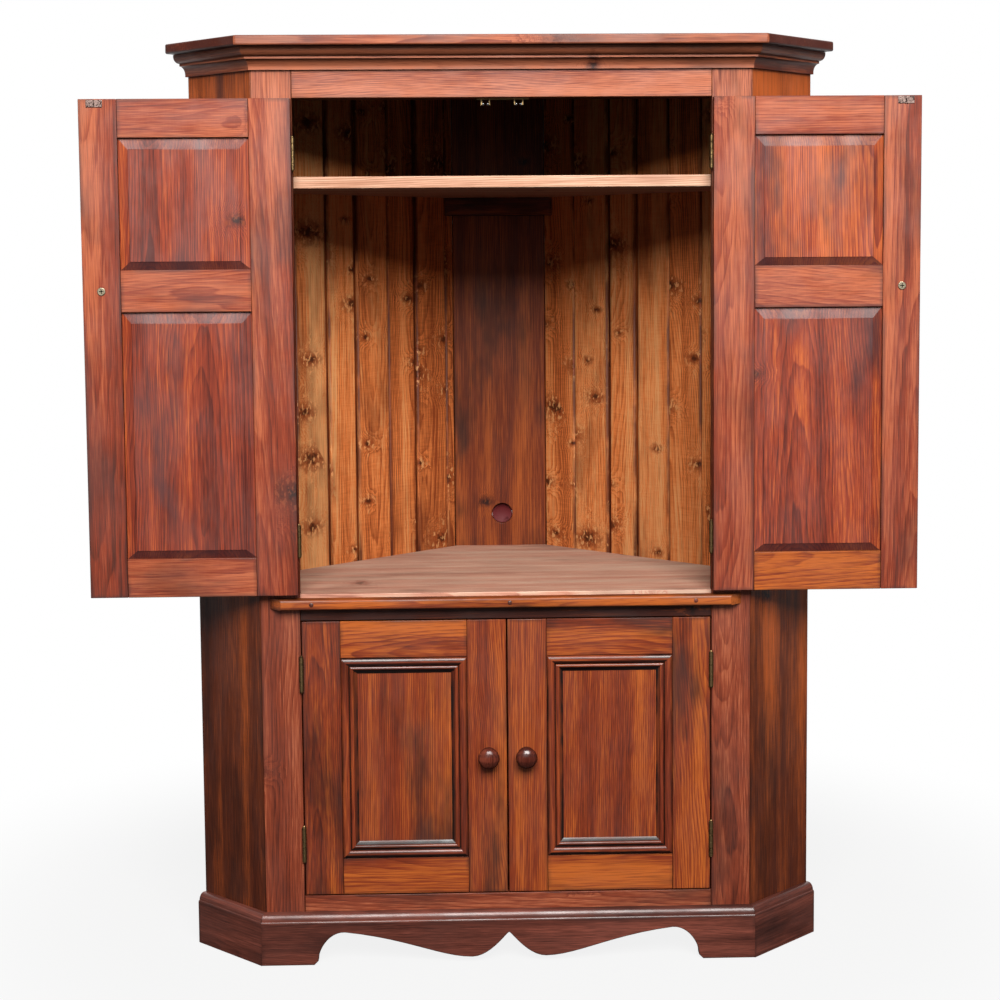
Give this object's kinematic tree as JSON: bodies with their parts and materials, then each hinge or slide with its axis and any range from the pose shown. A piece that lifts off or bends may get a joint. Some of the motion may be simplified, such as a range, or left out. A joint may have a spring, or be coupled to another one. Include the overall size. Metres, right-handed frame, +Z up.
{
  "type": "corner armoire",
  "caption": "Corner armoire in stained pine: open upper doors, a media compartment with a shelf, a closed cupboard below, canted sides, moulded cornice and scalloped plinth",
  "frame": {"origin": "centre of the bounding box's base, on the floor", "axes": "+Z is up and +X runs to the right of someone facing the doors. The front faces -Y, and the board across the room's corner faces +Y."},
  "size_m": [1.757, 0.7666, 1.98],
  "materials": {
    "stained_pine": "reddish brown stain under glossy varnish",
    "interior_pine": "orange brown stain under satin varnish, knotty",
    "dark_pine": "dark red stain under glossy varnish",
    "knob_pine": "turned, dark red stain under glossy varnish",
    "cap_plastic": "satin",
    "catch_steel": "plated",
    "hinge_brass": "tarnished"
  },
  "bodies": {
    "case": {"top_board": "stained_pine", "cornice_front": "stained_pine", "cornice_left": "stained_pine", "cornice_right": "stained_pine", "left_stile": "stained_pine", "right_stile": "stained_pine", "top_rail": "stained_pine", "mid_rail": "stained_pine", "bottom_rail": "stained_pine", "left_side_panel": "stained_pine", "right_side_panel": "stained_pine", "left_back_boards": "interior_pine", "right_back_boards": "interior_pine", "corner_back_board": "interior_pine", "cable_hole_cap": "cap_plastic", "deck_board": "interior_pine", "deck_nosing": "stained_pine", "upper_shelf": "interior_pine", "shelf_batten_back": "interior_pine", "shelf_batten_left": "interior_pine", "shelf_batten_right": "interior_pine", "cupboard_floor": "interior_pine", "plinth_front": "dark_pine", "plinth_left": "dark_pine", "plinth_right": "dark_pine", "ball_catch": "catch_steel", "upper_left_top_hinge_case_leaf": "hinge_brass", "upper_left_bottom_hinge_case_leaf": "hinge_brass", "lower_left_top_hinge_case_leaf": "hinge_brass", "lower_left_bottom_hinge_case_leaf": "hinge_brass", "upper_right_top_hinge_case_leaf": "hinge_brass", "upper_right_bottom_hinge_case_leaf": "hinge_brass", "lower_right_top_hinge_case_leaf": "hinge_brass", "lower_right_bottom_hinge_case_leaf": "hinge_brass"},
    "upper_left_door": {"upper_left_door_frame": "stained_pine", "upper_left_door_top_panel": "stained_pine", "upper_left_door_bottom_panel": "stained_pine", "upper_left_door_knob": "knob_pine", "upper_left_door_strike": "catch_steel", "upper_left_top_hinge_door_leaf": "hinge_brass", "upper_left_bottom_hinge_door_leaf": "hinge_brass"},
    "lower_left_door": {"lower_left_door_frame": "stained_pine", "lower_left_door_panel": "stained_pine", "lower_left_door_moulding": "stained_pine", "lower_left_door_knob": "knob_pine", "lower_left_top_hinge_door_leaf": "hinge_brass", "lower_left_bottom_hinge_door_leaf": "hinge_brass"},
    "upper_right_door": {"upper_right_door_frame": "stained_pine", "upper_right_door_top_panel": "stained_pine", "upper_right_door_bottom_panel": "stained_pine", "upper_right_door_knob": "knob_pine", "upper_right_door_strike": "catch_steel", "upper_right_top_hinge_door_leaf": "hinge_brass", "upper_right_bottom_hinge_door_leaf": "hinge_brass"},
    "lower_right_door": {"lower_right_door_frame": "stained_pine", "lower_right_door_panel": "stained_pine", "lower_right_door_moulding": "stained_pine", "lower_right_door_knob": "knob_pine", "lower_right_top_hinge_door_leaf": "hinge_brass", "lower_right_bottom_hinge_door_leaf": "hinge_brass"}
  },
  "joints": [
    {"name": "upper_left_door_hinge", "type": "hinge", "parent": "case", "child": "upper_left_door", "pos_m": [-0.44, -0.32827, 0], "axis": [0, 0, 1], "range_deg": [0, 180]},
    {"name": "upper_right_door_hinge", "type": "hinge", "parent": "case", "child": "upper_right_door", "pos_m": [0.44, -0.32827, 0], "axis": [0, 0, -1], "range_deg": [0, 180]},
    {"name": "lower_left_door_hinge", "type": "hinge", "parent": "case", "child": "lower_left_door", "pos_m": [-0.44, -0.32827, 0], "axis": [0, 0, -1], "range_deg": [0, 180]},
    {"name": "lower_right_door_hinge", "type": "hinge", "parent": "case", "child": "lower_right_door", "pos_m": [0.44, -0.32827, 0], "axis": [0, 0, 1], "range_deg": [0, 180]}
  ]
}
